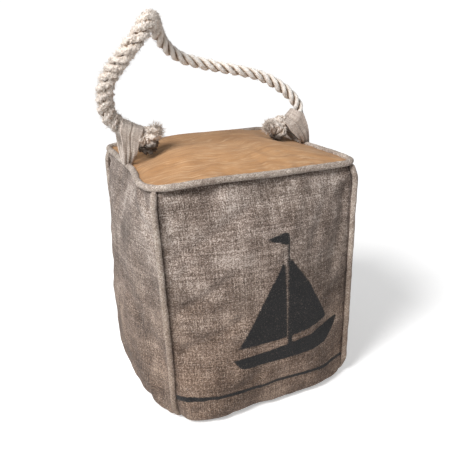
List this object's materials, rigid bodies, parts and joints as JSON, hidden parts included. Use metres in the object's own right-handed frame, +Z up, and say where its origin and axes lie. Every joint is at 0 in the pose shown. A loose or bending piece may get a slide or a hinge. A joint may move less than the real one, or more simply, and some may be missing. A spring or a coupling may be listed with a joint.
{
  "type": "weighted fabric door stop with rope handle",
  "caption": "Sand-filled canvas cube with a crowned leather top, piped seams and a twisted rope handle knotted through two fabric loops.",
  "frame": {"origin": "centre of the base panel's underside, where it rests on the floor", "axes": "+Z up, front panel faces -Y, handle runs along X from the left loop at -X to the right loop at +X"},
  "size_m": [0.2121, 0.1948, 0.3485],
  "materials": {
    "canvas": "coarse washed canvas, grey-beige",
    "piping_canvas": "washed canvas on the bias",
    "loop_canvas": "folded washed canvas with top stitching",
    "leather_top": "tan leather, brushed and scratched",
    "rope": "twisted off-white cotton rope",
    "piping_cord": "plain cotton cord",
    "liner": "woven polypropylene",
    "sand": "dry sand, stands in for loose grains",
    "wadding": "polyester fibre"
  },
  "bodies": {
    "bag": {"front_panel": "canvas", "back_panel": "canvas", "left_panel": "canvas", "right_panel": "canvas", "base_panel": "canvas", "top_panel": "leather_top", "top_piping_strip": "piping_canvas", "top_piping_cord": "piping_cord", "front_left_piping_strip": "piping_canvas", "front_left_piping_cord": "piping_cord", "front_right_piping_strip": "piping_canvas", "front_right_piping_cord": "piping_cord", "back_left_piping_strip": "piping_canvas", "back_left_piping_cord": "piping_cord", "back_right_piping_strip": "piping_canvas", "back_right_piping_cord": "piping_cord", "sand_liner": "liner", "liner_tie": "piping_cord", "sand_fill": "sand", "fibre_fill": "wadding"},
    "left_loop": {"left_rope_loop": "loop_canvas"},
    "right_loop": {"right_rope_loop": "loop_canvas"},
    "handle": {"handle_rope": "rope", "left_rope_knot": "rope", "right_rope_knot": "rope"}
  },
  "joints": [
    {"name": "left_loop_lean", "type": "hinge", "parent": "bag", "child": "left_loop", "pos_m": [-0.0885, 0, 0.2215], "axis": [1, 0, 0], "range_deg": [-42.5, 42.5]},
    {"name": "right_loop_lean", "type": "hinge", "parent": "bag", "child": "right_loop", "pos_m": [0.0885, 0, 0.2215], "axis": [1, 0, 0], "range_deg": [-42.5, 42.5]},
    {"name": "handle_swing", "type": "hinge", "parent": "left_loop", "child": "handle", "pos_m": [0, 0, 0.2502], "axis": [1, 0, 0], "range_deg": [-25, 25]}
  ],
  "couplings": [
    {"joint": "left_loop_lean", "follows": "handle_swing", "ratio": 1.7},
    {"joint": "right_loop_lean", "follows": "handle_swing", "ratio": 1.7}
  ]
}
